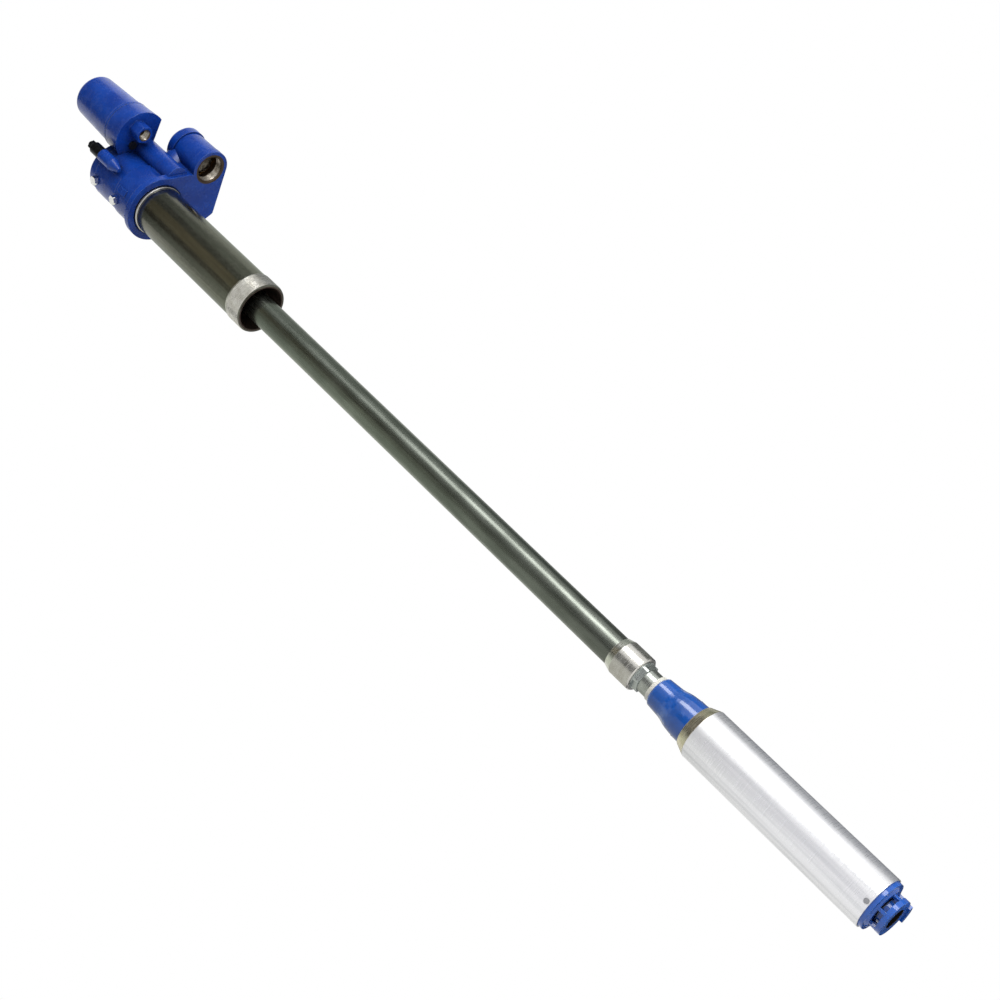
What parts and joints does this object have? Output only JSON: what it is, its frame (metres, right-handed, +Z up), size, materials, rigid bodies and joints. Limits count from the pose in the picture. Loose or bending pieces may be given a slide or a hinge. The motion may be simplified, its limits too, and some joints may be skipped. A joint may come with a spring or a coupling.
{
  "type": "telescopic submersible pump",
  "caption": "Fuel-tank submersible pump: manifold head with capacitor cover, riser pipe, telescopic column with lock nut, and a slim electric pump unit with a ribbed inlet bell.",
  "frame": {"origin": "centre of the riser pipe's lower end", "axes": "+Z up along the riser and column, +X towards the discharge boss's side of the head, +Y away from the viewer of the picture"},
  "size_m": [0.2635, 0.24, 2.4832],
  "materials": {
    "painted_blue": "glossy blue enamel over cast iron",
    "galvanised_steel": "weathered zinc-plated pipe",
    "pipe_steel": "dark oiled steel pipe",
    "machined_steel": "bright machined",
    "shell_steel": "fine brushed stainless",
    "black_fitting": "black oxide",
    "brass": "machined brass",
    "rubber": "matt",
    "cast_grey": "sand cast",
    "laminations": "stacked sheets",
    "copper": "varnished wire",
    "pale_plastic": "sealing polymer",
    "impeller_plastic": "moulded",
    "black_plastic": "moulded",
    "capacitor_can": "drawn can"
  },
  "bodies": {
    "head": {"riser_pipe": "galvanised_steel", "manifold_body": "painted_blue", "packer_head": "painted_blue", "packer_seals": "rubber", "lockdown_studs": "black_fitting", "lockdown_sleeves": "black_fitting", "lockdown_washers": "black_fitting", "lockdown_nuts": "black_fitting", "lifting_eye": "machined_steel", "relief_valve_cap": "brass", "port_plugs": "machined_steel", "leak_port_plug": "machined_steel", "valve_seat": "brass", "valve_spring": "machined_steel", "valve_cap": "painted_blue", "valve_cap_seal": "rubber", "junction_box": "painted_blue", "blanking_plug": "black_plastic", "box_screws": "machined_steel", "feed_connector": "black_plastic", "terminal_block": "black_plastic", "capacitor": "capacitor_can", "capacitor_clamp": "black_plastic", "cover_seal": "rubber", "upper_conduit": "machined_steel", "outer_column_pipe": "pipe_steel", "column_collar": "machined_steel", "gland_seals": "rubber"},
    "pump_unit": {"inner_column_pipe": "pipe_steel", "pipe_guide_ring": "pale_plastic", "lower_conduit": "machined_steel", "thread_seal_ring": "pale_plastic", "discharge_head": "painted_blue", "shell_end_ring": "machined_steel", "pump_shell": "shell_steel", "motor_can": "machined_steel", "motor_top_bell": "cast_grey", "motor_bottom_bell": "cast_grey", "shaft_bushes": "brass", "stator_core": "laminations", "stator_windings": "copper", "diffuser_upper": "cast_grey", "diffuser_lower": "cast_grey", "inlet_bell": "painted_blue", "inlet_strainer": "brass", "bell_screws": "black_fitting"},
    "rotor": {"rotor_core": "laminations", "motor_shaft": "machined_steel", "thrust_disc": "brass", "impeller_upper": "impeller_plastic", "impeller_lower": "impeller_plastic", "impeller_nut": "machined_steel"},
    "gland_follower_ring": {"gland_follower": "brass"},
    "lock_nut_ring": {"lock_nut": "machined_steel"},
    "check_poppet": {"valve_poppet": "machined_steel", "poppet_seal": "rubber"},
    "cover": {"capacitor_cover": "painted_blue"}
  },
  "joints": [
    {"name": "telescope_slide", "type": "slide", "parent": "head", "child": "pump_unit", "axis": [0, 0, -1], "range_m": [-0.012, 1]},
    {"name": "rotor_spin", "type": "hinge", "parent": "pump_unit", "child": "rotor", "pos_m": [0, 0, -1.46], "axis": [0, 0, 1], "continuous": true},
    {"name": "gland_follower_slide", "type": "slide", "parent": "head", "child": "gland_follower_ring", "axis": [0, 0, -1], "range_m": [0, 0.0047]},
    {"name": "lock_nut_turn", "type": "hinge", "parent": "gland_follower_ring", "child": "lock_nut_ring", "pos_m": [0, 0, -1.17], "axis": [0, 0, -1], "range_deg": [0, 720]},
    {"name": "valve_lift", "type": "slide", "parent": "head", "child": "check_poppet", "axis": [0, 0, -1], "range_m": [0, 0.008], "stiffness_N_per_m": 600, "springref_m": -0.008, "deforming": ["valve_spring"]},
    {"name": "capacitor_cover_lift", "type": "slide", "parent": "head", "child": "cover", "axis": [0, 0, 1], "range_m": [0, 0.15]}
  ],
  "couplings": [
    {"joint": "gland_follower_slide", "follows": "lock_nut_turn", "m_per_rad": 0.000367}
  ]
}
